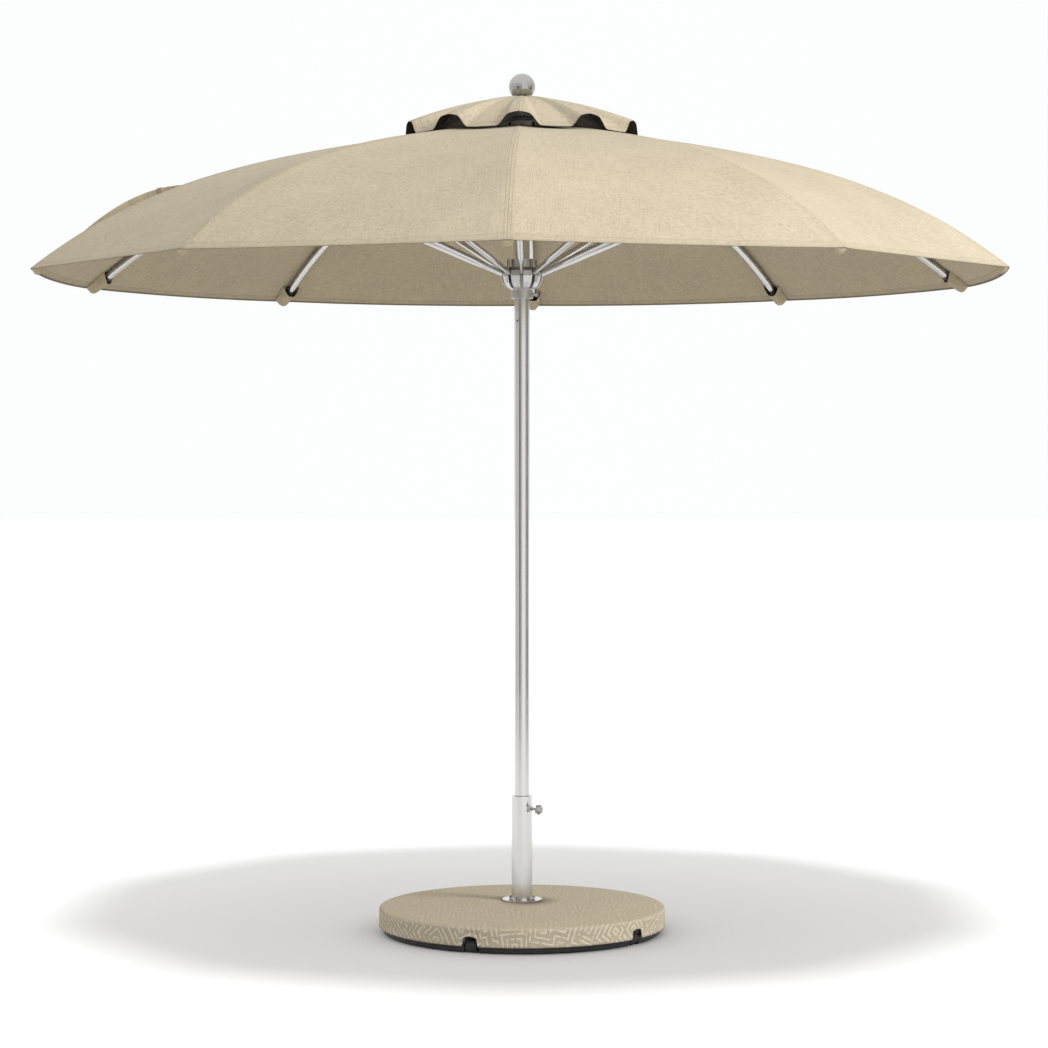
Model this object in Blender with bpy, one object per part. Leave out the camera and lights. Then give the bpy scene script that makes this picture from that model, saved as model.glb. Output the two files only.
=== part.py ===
"""Push-up patio umbrella with ten ribs, a vented canopy and a weighted round base.

Frame: metres, +Z up, origin on the floor under the pole, -Y is the front. A radial piece is modelled once
along +X (x outwards, y sideways, z up) and then turned about Z to each rib's or wheel's azimuth.
Azimuth is measured from the front (-Y) towards +X.
"""

from math import asin, atan2, cos, hypot, pi, radians, sin

import bmesh
import bpy
from mathutils import Matrix, Vector

# ---- driving dimensions ----
CANOPY_R = 1.400  # centre to a rim corner
RIBS = 10
RIB_STEP = 2 * pi / RIBS
FIRST_RIB = radians(-1.5)  # azimuth of the front rib
GAP = 0.0003  # kept between pieces that touch

CANOPY_TOP = 2.328  # where the line of the ribs would meet the axis
CANOPY_SLOPE = 0.156
CANOPY_DROP = 0.229  # extra drop of a rib's curve at the rim
CANOPY_BEND = 4.0  # power of that curve
VENT_HOLE_R = 0.250
# Radii where the cloth's facets break.
CLOTH_ROWS = (0.250, 0.500, 0.750, 0.930, 1.070, 1.190, 1.290, 1.372, CANOPY_R)
PANEL_SAG = 0.022  # hollow of the cloth midway between two ribs
RIM_DROOP = 0.012  # how far the rim hangs below a straight line between two ribs
CLOTH = 0.002

VENT_R = 0.335
VENT_TOP = 2.4020
VENT_SLOPE = 0.10
VENT_ARCH = 0.36  # curve of its slope
VENT_LOW = 2.2810  # its rim midway between two ribs
VENT_EYE_R = 0.011
ARCH_HALF, ARCH_FLANK = 0.26, 0.27  # half of an arch's flat top, and its flank, as shares of a half panel

RIB_HALF_WIDTH = 0.010
RIB_HALF_HEIGHT = 0.0115
RIB_UNDER_CLOTH = 0.0155  # rib centre line below the cloth
RIB_END_R = 1.372
TUBE_WALL = 0.0015
TAB_HALF_WIDTH = 0.0035
TAB_HALF_HEIGHT = 0.006
PLUG_LENGTH = 0.018  # of the eye's shank that fills a tube's end
EYE_R = 0.008

HINGE_R = 0.045  # radius of the rib hinges in the crown and of the strut hinges in the runner
CROWN_HINGE_Z = CANOPY_TOP - CANOPY_SLOPE * HINGE_R - RIB_UNDER_CLOTH
RUNNER_HINGE_Z = 1.888
STRUT_ON_RIB_R = 0.700
STRUT_BELOW_RIB = 0.0225
TUBE_FROM_HINGE = 0.026
STRUT_R = 0.009
STRUT_SHANK = 0.090  # flat length at a strut's lower end, so that the tube clears the runner
STRUT_SHANK_HALF_HEIGHT = 0.0070

POLE_R = 0.022
POLE_WALL = 0.002
POLE_TOP = 2.345
CROWN_TOP = 2.3875
POLE_SPLIT = 1.000
POLE_FOOT = 0.0951
COUPLER_HALF = 0.100

STEM_R = 0.030
STEM_BORE = 0.0225
STEM_TOP = 0.392
FLANGE_R = 0.057
FLANGE_BOLTS = 4
FLANGE_BOLT_R = 0.045  # of the circle they stand on
FLANGE_BOLT_HOLE_R = 0.0034
FLANGE_BOLT_END = 0.050  # height of their lower ends
BASE_TOP = 0.074  # of the cover, at its edge
DOME = 0.015  # rise of the cover and the weight from the edge to the centre
COVER_EYE_R = 0.050
COVER_R = 0.412
COVER_THICK = 0.0025
COVER_HEM = 0.020
TRAY_R = 0.400
TRAY_TOP = 0.0265
TRAY_FLOOR = 0.006
WEIGHT_R = 0.3915
WHEELS = 5
FIRST_WHEEL = radians(-20.5)
WHEEL_R = 0.0185
WHEEL_HALF = 0.0165
WHEEL_AT_R = 0.386
WHEEL_Z = 0.020
POCKET_HALF = 0.022
AXLE_HALF = 0.026

KNOB_AZIMUTH = radians(48)
KNOB_Z = 0.356
PLUNGER_Z = 1.834
BALL_R = 0.038
BALL_Z = 2.428


# ---- scene, materials and small tools ----
def clear_scene():
    for obj in list(bpy.data.objects):
        bpy.data.objects.remove(obj)


def material(name, colour, roughness, metallic=0.0):
    made = bpy.data.materials.new(name)
    made.use_nodes = True
    shader = made.node_tree.nodes["Principled BSDF"]
    shader.inputs["Base Color"].default_value = (*colour, 1)
    shader.inputs["Roughness"].default_value = roughness
    shader.inputs["Metallic"].default_value = metallic
    return made


def from_bmesh(name, bm):
    """An object that holds bm's mesh, with its faces turned outwards."""
    bmesh.ops.recalc_face_normals(bm, faces=bm.faces)
    mesh = bpy.data.meshes.new(name)
    bm.to_mesh(mesh)
    bm.free()
    obj = bpy.data.objects.new(name, mesh)
    bpy.context.scene.collection.objects.link(obj)
    return obj


def box(low, high, turn=0.0, about=(0, 0, 0)):
    """A block between two corners, turned about the Y line through a point."""
    bm = bmesh.new()
    size = Vector(high) - Vector(low)
    centre = (Vector(high) + Vector(low)) / 2
    bmesh.ops.create_cube(bm, size=1, matrix=Matrix.Translation(centre) @ Matrix.Diagonal((*size, 1)))
    pivot = Matrix.Translation(about)
    bm.transform(pivot @ Matrix.Rotation(turn, 4, "Y") @ pivot.inverted())
    return from_bmesh("block", bm)


def rod(radius, start, end, sides=16):
    """A solid cylinder from start to end."""
    bm = bmesh.new()
    along = Vector(end) - Vector(start)
    turn = along.to_track_quat("Z", "Y").to_matrix().to_4x4()
    place = Matrix.Translation((Vector(start) + Vector(end)) / 2) @ turn
    size = {"radius1": radius, "radius2": radius, "depth": along.length}
    bmesh.ops.create_cone(bm, cap_ends=True, segments=sides, matrix=place, **size)
    return from_bmesh("rod", bm)


def turned(profile, steps, start=0.0):
    """A closed outline of (radius, height) points turned about Z."""
    bm = bmesh.new()
    points = [bm.verts.new((r, 0, z)) for r, z in profile]
    edges = [bm.edges.new((a, b)) for a, b in zip(points, points[1:] + points[:1]) if a.co.x or b.co.x]
    bmesh.ops.rotate(bm, verts=points, cent=(0, 0, 0), matrix=Matrix.Rotation(start, 3, "Z"))
    bmesh.ops.spin(bm, geom=points + edges, cent=(0, 0, 0), axis=(0, 0, 1), angle=2 * pi, steps=steps)
    bmesh.ops.remove_doubles(bm, verts=bm.verts, dist=1e-5)
    return from_bmesh("turned", bm)


def tube(points, half_width, half_height, wall, sides):
    """A hollow tube along points in the XZ plane, open at both ends."""
    bm = bmesh.new()
    rings = []
    for inset in (0, wall):
        for i, (x, z) in enumerate(points):
            before, after = points[max(i - 1, 0)], points[min(i + 1, len(points) - 1)]
            slope = atan2(after[1] - before[1], after[0] - before[0])
            ring = []
            for k in range(sides):
                turn = 2 * pi * (k + 0.5) / sides
                side, up = (half_width - inset) * cos(turn), (half_height - inset) * sin(turn)
                ring.append(bm.verts.new((x - up * sin(slope), side, z + up * cos(slope))))
            rings.append(ring)
    loop = rings[: len(points)] + rings[: len(points) - 1 : -1]
    for a, b in zip(loop, loop[1:] + loop[:1]):
        for k in range(sides):
            bm.faces.new((a[k], a[(k + 1) % sides], b[(k + 1) % sides], b[k]))
    return from_bmesh("tube", bm)


def combine(base, others, operation):
    """base with the others joined to it or cut from it, in one mesh. The others are removed."""
    for other in others:
        step = base.modifiers.new("step", "BOOLEAN")
        step.operation = operation
        step.solver = "EXACT"
        step.object = other
    bpy.context.view_layer.update()
    graph = bpy.context.evaluated_depsgraph_get()
    mesh = bpy.data.meshes.new_from_object(base.evaluated_get(graph))
    base.modifiers.clear()
    base.data = mesh
    for other in others:
        bpy.data.objects.remove(other)
    return base


def join(base, *others):
    return combine(base, others, "UNION")


def cut(base, *others):
    return combine(base, others, "DIFFERENCE")


def turn_to(obj, azimuth):
    """Turns a cutter or a piece from +X to an azimuth, in its mesh."""
    obj.data.transform(Matrix.Rotation(azimuth - pi / 2, 4, "Z"))
    return obj


def named(obj, name, finish, sharp=35):
    """Gives a finished piece its node name, finish and shading."""
    obj.name = name
    obj.data.name = name
    obj.data.materials.clear()
    obj.data.materials.append(finish)
    obj.data.shade_smooth()
    obj.data.set_sharp_from_angle(angle=radians(sharp))
    return obj


def repeat(obj, name, finish, azimuths):
    """One object for each azimuth, all sharing the mesh modelled along +X."""
    named(obj, name, finish)
    for i, azimuth in enumerate(azimuths):
        copy = obj if i == 0 else bpy.data.objects.new(name, obj.data)
        if i:
            bpy.context.scene.collection.objects.link(copy)
        copy.name = f"{name}_{i + 1:02d}"
        copy.rotation_euler = (0, 0, azimuth - pi / 2)


def rib_azimuths():
    return [FIRST_RIB + i * RIB_STEP for i in range(RIBS)]


def wheel_azimuths():
    return [FIRST_WHEEL + i * 2 * pi / WHEELS for i in range(WHEELS)]


# ---- canopy ----
def cloth_z(r):
    """Height of the cloth over a rib at radius r."""
    return CANOPY_TOP - CANOPY_SLOPE * r - CANOPY_DROP * (r / CANOPY_R) ** CANOPY_BEND


def rib_z(r):
    """Height of a rib's centre line, which keeps its distance from the cloth square to the slope."""
    slope = CANOPY_SLOPE + CANOPY_DROP * CANOPY_BEND / CANOPY_R * (r / CANOPY_R) ** (CANOPY_BEND - 1)
    return cloth_z(r) - RIB_UNDER_CLOTH * hypot(1, slope)


def cloth_point(share, side):
    """The cloth at a share of the way from vent hole to rim; side is -1 to 1 across a rib's half panels."""
    across = abs(side)
    hollow = 1 - (1 - across) ** 2
    r = VENT_HOLE_R + (CANOPY_R - VENT_HOLE_R) * share
    half = RIB_STEP / 2
    x = r * (1 - across * sin(half) ** 2)
    y = r * side * cos(half) * sin(half)
    sag = PANEL_SAG * hollow * sin(pi * min(share, 1)) ** 0.8 * (r / CANOPY_R)
    droop = RIM_DROOP * hollow * share**3
    edge = GAP * 0.5 if across == 1 else 0.0
    return Vector((x - edge * sin(half), y - edge * side * cos(half), cloth_z(r) - sag - droop))


def make_gores(finish):
    """Ten closed cloth solids, each centred on a rib and meeting its neighbours midway between ribs."""
    rows = [(r - VENT_HOLE_R) / (CANOPY_R - VENT_HOLE_R) for r in CLOTH_ROWS]
    sides = [-1, -0.5, 0, 0.5, 1]
    bm = bmesh.new()
    grids = []
    for drop in (0, CLOTH):
        grids.append([[bm.verts.new(cloth_point(s, c) - Vector((0, 0, drop))) for c in sides] for s in rows])
    for grid in grids:
        for a, b in zip(grid, grid[1:]):
            for k in range(len(sides) - 1):
                bm.faces.new((a[k], a[k + 1], b[k + 1], b[k]))
    outlines = []
    for grid in grids:
        left, right = [row[0] for row in grid[-2:0:-1]], [row[-1] for row in grid[1:]]
        outlines.append(grid[0] + right + grid[-1][-2::-1] + left)
    top, under = outlines
    for k in range(len(top)):
        n = (k + 1) % len(top)
        bm.faces.new((top[k], top[n], under[n], under[k]))
    repeat(from_bmesh("gore", bm), "canopy_gore", finish, rib_azimuths())


def vent_z(share, azimuth):
    """Height of the vent canopy, whose rim arches up over each rib and lies low between ribs."""
    ridge = [VENT_TOP - VENT_SLOPE * r - VENT_ARCH * r**2 for r in (vent_radius(share), VENT_R)]
    off = abs((azimuth - FIRST_RIB + RIB_STEP / 2) % RIB_STEP - RIB_STEP / 2) / (RIB_STEP / 2)
    fall = min(max((off - ARCH_HALF) / ARCH_FLANK, 0), 1)
    return ridge[0] - (ridge[1] - VENT_LOW) * fall**2 * (3 - 2 * fall) * share**1.6


def vent_radius(share):
    return VENT_EYE_R + (VENT_R - VENT_EYE_R) * share


def make_vent(finish):
    rows, around = [0, 0.4, 0.75, 1], 8 * RIBS
    bm = bmesh.new()
    rings = []
    for drop, order in ((0, rows), (CLOTH, rows[::-1])):
        for share in order:
            r = vent_radius(share)
            ring = []
            for k in range(around):
                azimuth = FIRST_RIB + 2 * pi * k / around
                height = vent_z(share, azimuth) - drop
                ring.append(bm.verts.new((r * sin(azimuth), -r * cos(azimuth), height)))
            rings.append(ring)
    for a, b in zip(rings, rings[1:] + rings[:1]):
        for k in range(around):
            n = (k + 1) % around
            bm.faces.new((a[k], a[n], b[n], b[k]))
    named(from_bmesh("vent", bm), "vent_canopy", finish)


def make_tie_strap(finish):
    """A closure strap sewn to one panel near the rim and bowed up off the cloth on its way in."""
    side, half_width, thick, bow, clear = -0.55, 0.015, 0.0022, 0.034, 0.004
    shares = [0.61 + 0.035 * i for i in range(11)]
    bm = bmesh.new()
    rings = []
    for i, share in enumerate(shares):
        middle = cloth_point(share, side)
        lift = clear + bow * sin(pi * i / (len(shares) - 1)) ** 1.5
        rings.append(
            [
                bm.verts.new(middle + Vector((0, y, lift + up + abs(y) * 0.05)))
                for y, up in ((-half_width, 0), (half_width, 0), (half_width, thick), (-half_width, thick))
            ]
        )
    for a, b in zip(rings, rings[1:]):
        for k in range(4):
            bm.faces.new((a[k], a[(k + 1) % 4], b[(k + 1) % 4], b[k]))
    bm.faces.new(rings[0])
    bm.faces.new(rings[-1])
    strap = from_bmesh("strap", bm)
    left_rib = rib_azimuths()[RIBS - 2]
    named(turn_to(strap, left_rib), "tie_strap", finish)


# ---- folding frame ----
def strut_hinge():
    """The hinge of a strut on its rib, as (x, z) along the rib."""
    return STRUT_ON_RIB_R, rib_z(STRUT_ON_RIB_R) - STRUT_BELOW_RIB


def make_ribs(finish):
    """A curved tube with a flat eye in the crown and a clevis, with its rivet, for the strut."""
    first = HINGE_R + TUBE_FROM_HINGE
    radii = [first, *(r for r in CLOTH_ROWS if r <= RIB_END_R)]
    rib = tube([(r, rib_z(r)) for r in radii], RIB_HALF_WIDTH, RIB_HALF_HEIGHT, TUBE_WALL, 8)
    lean = atan2(CANOPY_SLOPE, 1)
    eye = (HINGE_R, 0, CROWN_HINGE_Z)
    tab = box(
        (HINGE_R, -TAB_HALF_WIDTH, CROWN_HINGE_Z - TAB_HALF_HEIGHT),
        (first + 0.020, TAB_HALF_WIDTH, CROWN_HINGE_Z + TAB_HALF_HEIGHT),
        lean,
        eye,
    )
    ring = rod(EYE_R, (HINGE_R, -TAB_HALF_WIDTH, CROWN_HINGE_Z), (HINGE_R, TAB_HALF_WIDTH, CROWN_HINGE_Z), 12)
    fill = RIB_HALF_HEIGHT - TUBE_WALL
    plug = box(
        (first + 0.001, -TAB_HALF_WIDTH, CROWN_HINGE_Z - fill),
        (first + PLUG_LENGTH, TAB_HALF_WIDTH, CROWN_HINGE_Z + fill),
        lean,
        eye,
    )
    rib = join(rib, join(tab, ring, plug))
    rib = cut(rib, rod(0.0026, (HINGE_R, -0.01, CROWN_HINGE_Z), (HINGE_R, 0.01, CROWN_HINGE_Z), 8))
    x, z = strut_hinge()
    inner, outer = TAB_HALF_WIDTH + 0.0006, TAB_HALF_WIDTH + 0.0036
    for side in (-1, 1):
        low, high = sorted((side * inner, side * outer))
        plate = box((x - EYE_R, low, z), (x + EYE_R, high, z + STRUT_BELOW_RIB - 0.004))
        rib = join(rib, join(plate, rod(EYE_R, (x, low, z), (x, high, z), 12)))
    rib = join(rib, rod(0.003, (x, -outer - 0.001, z), (x, outer + 0.001, z), 8))
    repeat(rib, "rib", finish, rib_azimuths())


def make_struts(finish):
    """A straight tube from the runner up to a rib, with its ends pressed flat, the lower one for longer."""
    x, z = strut_hinge()
    run, rise = x - HINGE_R, z - RUNNER_HINGE_Z
    length = hypot(run, rise)
    strut = tube([(STRUT_SHANK, 0), (length - TUBE_FROM_HINGE, 0)], STRUT_R, STRUT_R, TUBE_WALL, 8)
    fill = STRUT_R - TUBE_WALL
    for at, tube_at, inward, half_height in (
        (0, STRUT_SHANK, 1, STRUT_SHANK_HALF_HEIGHT),
        (length, length - TUBE_FROM_HINGE, -1, TAB_HALF_HEIGHT),
    ):
        low, high = sorted((at, tube_at + inward * 0.010))
        tab = box((low, -TAB_HALF_WIDTH, -half_height), (high, TAB_HALF_WIDTH, half_height))
        eye = rod(half_height + 0.0005, (at, -TAB_HALF_WIDTH, 0), (at, TAB_HALF_WIDTH, 0), 12)
        near, deep = sorted((tube_at + inward * 0.001, tube_at + inward * PLUG_LENGTH))
        plug = box((near, -TAB_HALF_WIDTH, -fill), (deep, TAB_HALF_WIDTH, fill))
        strut = join(strut, join(tab, eye, plug))
    rivet = TAB_HALF_WIDTH + 0.0011
    strut = join(strut, rod(0.003, (0, -rivet, 0), (0, rivet, 0), 8))
    strut = cut(strut, rod(0.0034, (length, -0.01, 0), (length, 0.01, 0), 8))
    place = Matrix.Translation((HINGE_R, 0, RUNNER_HINGE_Z)) @ Matrix.Rotation(-asin(rise / length), 4, "Y")
    strut.data.transform(place)
    repeat(strut, "strut", finish, rib_azimuths())


def slots(half_width, inner, outer, low, high):
    """Cutters for the ten radial slots of a hub."""
    return [
        turn_to(box((inner, -half_width, low), (outer, half_width, high)), azimuth)
        for azimuth in rib_azimuths()
    ]


def make_crown(finish, steel):
    """The slotted hub on top of the pole, and the ten-sided wire that the ribs hinge on."""
    bore, hinge = POLE_R + GAP, CROWN_HINGE_Z
    hub = turned(
        [
            (bore, hinge - 0.012),
            (0.056, hinge - 0.012),
            (0.058, hinge - 0.009),
            (0.058, hinge + 0.020),
            (0.025, hinge + 0.038),
            (0.025, CROWN_TOP),
            (0.0088, CROWN_TOP),
            (0.0088, POLE_TOP + GAP),
            (bore, POLE_TOP + GAP),
        ],
        30,
        FIRST_RIB,
    )
    groove, corner = 0.0031, HINGE_R / cos(RIB_STEP / 2)
    between_ribs = FIRST_RIB + RIB_STEP / 2 - pi / 2
    low, high = hinge - groove, hinge + 0.05
    channel = turned(
        [(corner - groove, low), (corner + groove, low), (corner + groove, high), (corner - groove, high)],
        RIBS,
        between_ribs,
    )
    hub = cut(hub, *slots(TAB_HALF_WIDTH + 0.0007, 0.033, 0.08, hinge - 0.03, hinge + 0.017), channel)
    named(hub, "crown_hub", finish)
    wire = 0.0022
    outline = [(corner + wire * cos(k * pi / 3), CROWN_HINGE_Z + wire * sin(k * pi / 3)) for k in range(6)]
    named(turned(outline, RIBS, between_ribs), "crown_hinge_wire", steel)


def make_finial(steel):
    """A ball with a flat foot and a stud that screws into the crown."""
    foot = 2.4030
    low = asin((foot - BALL_Z) / BALL_R)
    arc = [low + (pi / 2 - low) * k / 10 for k in range(11)]
    ball = [(BALL_R * cos(a), BALL_Z + BALL_R * sin(a)) for a in arc[:-1]] + [(0, BALL_Z + BALL_R)]
    stud = [(0, 2.362), (0.008, 2.362), (0.008, foot)]
    named(turned(stud + ball, 28), "finial", steel)


def make_runner(finish, steel):
    """The slotted hub that slides on the pole, and its spring plunger with a pull ring."""
    bore = POLE_R + 2 * GAP
    hub = turned(
        [
            (bore, 1.822),
            (0.0315, 1.822),
            (0.0315, 1.846),
            (0.0340, 1.848),
            (0.0460, 1.853),
            (0.0550, 1.866),
            (0.0595, 1.885),
            (0.0595, 1.900),
            (0.0520, 1.908),
            (0.0430, 1.911),
            (0.0430, 1.934),
            (bore, 1.934),
        ],
        30,
        FIRST_RIB,
    )
    hub = cut(hub, *slots(0.0050, 0.0345, 0.08, 1.835, 1.950))
    hub = cut(hub, rod(0.0044, (0.015, 0, PLUNGER_Z), (0.045, 0, PLUNGER_Z), 12))
    named(hub, "runner_hub", finish)
    tip = POLE_R + 0.0008
    pin = join(
        rod(0.004, (tip, 0, PLUNGER_Z), (0.048, 0, PLUNGER_Z), 12),
        rod(0.0065, (0.038, 0, PLUNGER_Z), (0.044, 0, PLUNGER_Z), 12),
    )
    ring_r, wire = 0.010, 0.0014
    ring = turned([(ring_r + wire * cos(k * pi / 3), wire * sin(k * pi / 3)) for k in range(6)], 16)
    ring.data.transform(Matrix.Translation((0.0465, 0, PLUNGER_Z - ring_r)) @ Matrix.Rotation(pi / 2, 4, "Y"))
    named(join(pin, ring), "lock_plunger", steel)


# ---- poles ----
def pipe(radius, bore, low, high, steps=32):
    return turned([(bore, low), (radius, low), (radius, high), (bore, high)], steps)


def make_poles(finish):
    bore = POLE_R - POLE_WALL
    upper = pipe(POLE_R, bore, POLE_SPLIT + GAP, POLE_TOP)
    plunger_hole = rod(0.0046, (0.010, 0, PLUNGER_Z), (0.030, 0, PLUNGER_Z), 12)
    lower_azimuth, lower_z = radians(-36), 1.758
    lower_hole = turn_to(rod(0.0032, (0.010, 0, lower_z), (0.030, 0, lower_z), 12), lower_azimuth)
    named(cut(upper, plunger_hole, lower_hole), "upper_pole", finish)
    named(pipe(POLE_R, bore, POLE_FOOT, POLE_SPLIT), "lower_pole", finish)
    low, high = POLE_SPLIT - COUPLER_HALF, POLE_SPLIT + COUPLER_HALF
    named(pipe(bore - GAP, bore - 0.0025, low, high), "pole_coupler", finish)


# ---- base ----
def domed(r):
    """Height of the cover's top at radius r."""
    return BASE_TOP + DOME * (1 - (r / COVER_R) ** 2)


def wheel_pockets(inner, low, high, half=POCKET_HALF):
    return [turn_to(box((inner, -half, low), (0.45, half, high)), a) for a in wheel_azimuths()]


def make_base(cloth, plastic, concrete):
    """A plastic dish, the cast weight in it, and the fitted cover over both."""
    dish = turned(
        [
            (0, 0),
            (TRAY_R - 0.006, 0),
            (TRAY_R, TRAY_FLOOR),
            (TRAY_R, TRAY_TOP),
            (WEIGHT_R + GAP, TRAY_TOP),
            (WEIGHT_R + GAP, TRAY_FLOOR),
            (0, TRAY_FLOOR),
        ],
        60,
    )
    named(cut(dish, *wheel_pockets(0.360, -0.01, 0.10)), "base_tray", plastic)

    bottom, under_cover, recess = TRAY_FLOOR + GAP, COVER_THICK + 0.001, 0.066
    rim, radii = WEIGHT_R - 0.006, (0.30, 0.18, COVER_EYE_R)
    weight = turned(
        [
            (0, bottom),
            (0.065, bottom),
            (0.075, recess),
            (0.343, recess),
            (0.352, bottom),
            (WEIGHT_R, bottom),
            (WEIGHT_R, domed(rim) - under_cover - 0.006),
            *((r, domed(r) - under_cover) for r in (rim, *radii)),
            (0, domed(COVER_EYE_R) - under_cover),
        ],
        60,
    )
    weight = cut(weight, *wheel_pockets(0.360, -0.01, 0.046))
    axles = [axle_rod(0.0033, AXLE_HALF + 0.002, azimuth) for azimuth in wheel_azimuths()]
    screws = flange_screw_holes(FLANGE_BOLT_END - 0.005, 0.120)
    named(cut(weight, *axles, *screws), "base_weight", concrete)

    inside, edge = COVER_R - COVER_THICK, 0.007
    turns = (0, pi / 6, pi / 3, pi / 2)
    shoulder = [(COVER_R - edge + edge * cos(a), BASE_TOP - edge + edge * sin(a)) for a in turns]
    cover = turned(
        [
            (inside, COVER_HEM),
            (COVER_R, COVER_HEM),
            *shoulder,
            *((r, domed(r)) for r in radii),
            *((r, domed(r) - COVER_THICK) for r in reversed(radii)),
            (inside - 0.005, BASE_TOP - COVER_THICK),
            (inside, BASE_TOP - COVER_THICK - 0.005),
        ],
        60,
    )
    named(cut(cover, *wheel_pockets(0.378, 0.0, 0.050, POCKET_HALF - 0.002)), "base_cover", cloth)


def axle_rod(radius, half, azimuth):
    """A wheel's axle line, which runs sideways to the radius."""
    return turn_to(rod(radius, (WHEEL_AT_R, -half, WHEEL_Z), (WHEEL_AT_R, half, WHEEL_Z), 12), azimuth)


def flange_bolt_xy(k):
    azimuth = radians(45) + k * 2 * pi / FLANGE_BOLTS
    return FLANGE_BOLT_R * sin(azimuth), -FLANGE_BOLT_R * cos(azimuth)


def flange_screw_holes(low, high):
    """Cutters for the four flange bolts' holes."""
    ends = [(flange_bolt_xy(k), flange_bolt_xy(k)) for k in range(FLANGE_BOLTS)]
    return [rod(FLANGE_BOLT_HOLE_R, (*a, low), (*b, high), 12) for a, b in ends]


def make_wheels(rubber, steel):
    half, edge = WHEEL_HALF, 0.003
    wheel = turned(
        [
            (0.0034, -half),
            (WHEEL_R - edge, -half),
            (WHEEL_R, edge - half),
            (WHEEL_R, half - edge),
            (WHEEL_R - edge, half),
            (0.0034, half),
        ],
        24,
    )
    wheel.data.transform(Matrix.Translation((WHEEL_AT_R, 0, WHEEL_Z)) @ Matrix.Rotation(pi / 2, 4, "X"))
    repeat(wheel, "wheel", rubber, wheel_azimuths())
    axle = rod(0.003, (WHEEL_AT_R, -AXLE_HALF, WHEEL_Z), (WHEEL_AT_R, AXLE_HALF, WHEEL_Z), 12)
    repeat(axle, "wheel_axle", steel, wheel_azimuths())


def make_stem(finish, steel):
    """The socket tube with its bolted flange and the boss for the clamp bolt, and four flange bolts."""
    low = domed(COVER_EYE_R) + GAP
    flange_top = low + 0.005
    stem = turned(
        [
            (0, low),
            (FLANGE_R, low),
            (FLANGE_R, flange_top - 0.001),
            (FLANGE_R - 0.001, flange_top),
            (STEM_R, flange_top),
            (STEM_R, STEM_TOP - 0.001),
            (STEM_R - 0.001, STEM_TOP),
            (STEM_BORE, STEM_TOP),
            (STEM_BORE, POLE_FOOT - GAP),
            (0, POLE_FOOT - GAP),
        ],
        40,
    )
    boss = turn_to(rod(0.009, (STEM_R - 0.004, 0, KNOB_Z), (0.037, 0, KNOB_Z), 16), KNOB_AZIMUTH)
    hole = turn_to(rod(0.0043, (0.015, 0, KNOB_Z), (0.045, 0, KNOB_Z), 12), KNOB_AZIMUTH)
    screws = flange_screw_holes(low - 0.01, flange_top + 0.01)
    named(cut(join(stem, boss), hole, *screws), "base_stem", finish)
    head, crown = flange_top + GAP, 0.0045
    bolt = turned(
        [
            (0, FLANGE_BOLT_END),
            (0.003, FLANGE_BOLT_END),
            (0.003, head),
            (0.0065, head),
            (0.0065, head + 0.002),
            (0.0040, head + crown),
            (0, head + crown),
        ],
        12,
    )
    named(bolt, "flange_bolt", steel)
    for k in range(FLANGE_BOLTS):
        copy = bolt if k == 0 else bpy.data.objects.new("flange_bolt", bolt.data)
        if k:
            bpy.context.scene.collection.objects.link(copy)
        copy.name = f"flange_bolt_{k + 1}"
        copy.location = (*flange_bolt_xy(k), 0)


def make_clamp(steel):
    """The bolt that clamps the pole in the socket, and its seven-lobed knob."""
    knob_from, grip, lobes = 0.0565, 0.0115, 7
    bolt = rod(0.004, (POLE_R + GAP, 0, KNOB_Z), (knob_from - GAP, 0, KNOB_Z), 12)
    named(turn_to(bolt, KNOB_AZIMUTH), "clamp_bolt", steel)
    profile = [(0, 0), (0.007, 0), (grip, 0.0035), (grip, 0.0125), (0.0080, 0.0155), (0, 0.0155)]
    knob = turned([(r, knob_from + z) for r, z in profile], 28)
    for k in range(lobes):
        turn = 2 * pi * k / lobes
        x, y = grip * cos(turn), grip * sin(turn)
        knob = join(knob, rod(0.0032, (x, y, knob_from + 0.004), (x, y, knob_from + 0.012), 10))
    knob.data.transform(Matrix.Translation((0, 0, KNOB_Z)) @ Matrix.Rotation(pi / 2, 4, "Y"))
    named(turn_to(knob, KNOB_AZIMUTH), "clamp_knob", steel)


def main():
    clear_scene()
    canvas = material("canopy_fabric", (0.62, 0.55, 0.41), 0.9)
    base_cloth = material("base_fabric", (0.47, 0.42, 0.31), 0.9)
    aluminium = material("frame_aluminium", (0.72, 0.72, 0.73), 0.35, 1.0)
    casting = material("hub_casting", (0.62, 0.62, 0.62), 0.45, 1.0)
    steel = material("bright_steel", (0.75, 0.74, 0.72), 0.2, 1.0)
    black = material("black_plastic", (0.01, 0.01, 0.01), 0.5)
    concrete = material("cast_weight", (0.35, 0.34, 0.32), 0.9)
    rubber = material("wheel_rubber", (0.012, 0.012, 0.012), 0.6)
    make_gores(canvas)
    make_vent(canvas)
    make_tie_strap(canvas)
    make_ribs(aluminium)
    make_struts(aluminium)
    make_crown(casting, steel)
    make_finial(steel)
    make_runner(casting, steel)
    make_poles(aluminium)
    make_base(base_cloth, black, concrete)
    make_wheels(rubber, steel)
    make_stem(aluminium, steel)
    make_clamp(steel)


main()
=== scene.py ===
"""Looks of the patio umbrella, built on its CAD frame. Metres, +Z up, -Y is the front."""

from math import atan2, cos, exp, hypot, pi, radians, sin

import bmesh
import bpy
from mathutils import Matrix, Vector


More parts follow.
